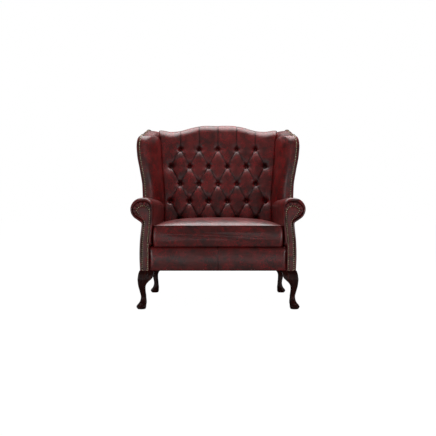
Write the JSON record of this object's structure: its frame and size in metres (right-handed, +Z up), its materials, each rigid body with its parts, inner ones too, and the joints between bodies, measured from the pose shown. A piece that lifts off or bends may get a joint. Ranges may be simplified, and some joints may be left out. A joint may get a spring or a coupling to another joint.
{
  "type": "loveseat",
  "caption": "Loveseat with a high deep-buttoned camel back, wings, rolled arms with nailed facings, a loose seat cushion and cabriole legs.",
  "frame": {"origin": "on the floor under the middle of the sofa's box", "axes": "+Z up, +X to the right of the picture, +Y from the front to the back; the front faces -Y"},
  "size_m": [1.0342, 0.8402, 1.13],
  "materials": {
    "leather": "antiqued, satin",
    "nail_brass": "antique",
    "beech": "planed",
    "leg_mahogany": "polished",
    "spring_steel": "drawn wire",
    "webbing": "woven jute",
    "twine": "waxed",
    "deck_cloth": "woven",
    "dust_cloth": "non-woven",
    "cushion_filling": "foam with a wrap",
    "zip_tape": "woven",
    "zip_metal": "antique"
  },
  "bodies": {
    "sofa": {"arm_facing_left": "leather", "arm_facing_right": "leather", "arm_nails_left": "nail_brass", "arm_nails_right": "nail_brass", "arm_rail_left": "beech", "arm_rail_right": "beech", "arm_stump_left": "beech", "arm_stump_right": "beech", "back_buttons": "leather", "back_post_left": "beech", "back_post_right": "beech", "back_rail": "beech", "back_uprights": "beech", "back_webbing": "webbing", "button_twines": "twine", "corner_blocks": "beech", "crest_rail": "beech", "dust_cover": "dust_cloth", "frame_dowels": "beech", "front_border": "leather", "front_leg_left": "leg_mahogany", "front_leg_right": "leg_mahogany", "front_rail": "beech", "inside_arm_left": "leather", "inside_arm_right": "leather", "inside_back": "leather", "inside_wing_left": "leather", "inside_wing_right": "leather", "leg_brackets": "leg_mahogany", "leg_screws": "spring_steel", "outside_arm_left": "leather", "outside_arm_right": "leather", "outside_back": "leather", "outside_wing_left": "leather", "outside_wing_right": "leather", "pleated_band_left": "leather", "pleated_band_right": "leather", "rear_leg_left": "leg_mahogany", "rear_leg_right": "leg_mahogany", "scroll_board_left": "beech", "scroll_board_right": "beech", "seat_deck": "deck_cloth", "seat_springs": "spring_steel", "seat_stretcher": "beech", "side_rail_left": "beech", "side_rail_right": "beech", "spring_clips": "spring_steel", "stay_rail": "beech", "wing_nails_left": "nail_brass", "wing_nails_right": "nail_brass", "wing_rail_left": "beech", "wing_rail_right": "beech", "wing_upright_left": "beech", "wing_upright_right": "beech"},
    "seat_cushion": {"cushion_cover": "leather", "cushion_core": "cushion_filling", "cushion_zip": "zip_tape"},
    "zip_slider": {"zip_slider": "zip_metal"}
  },
  "joints": [
    {"name": "seat_cushion_lift", "type": "slide", "parent": "sofa", "child": "seat_cushion", "axis": [0, 0, 1], "range_m": [0, 0.3]},
    {"name": "zip_slide", "type": "slide", "parent": "seat_cushion", "child": "zip_slider", "axis": [-1, 0, 0], "range_m": [0, 0.474]}
  ]
}
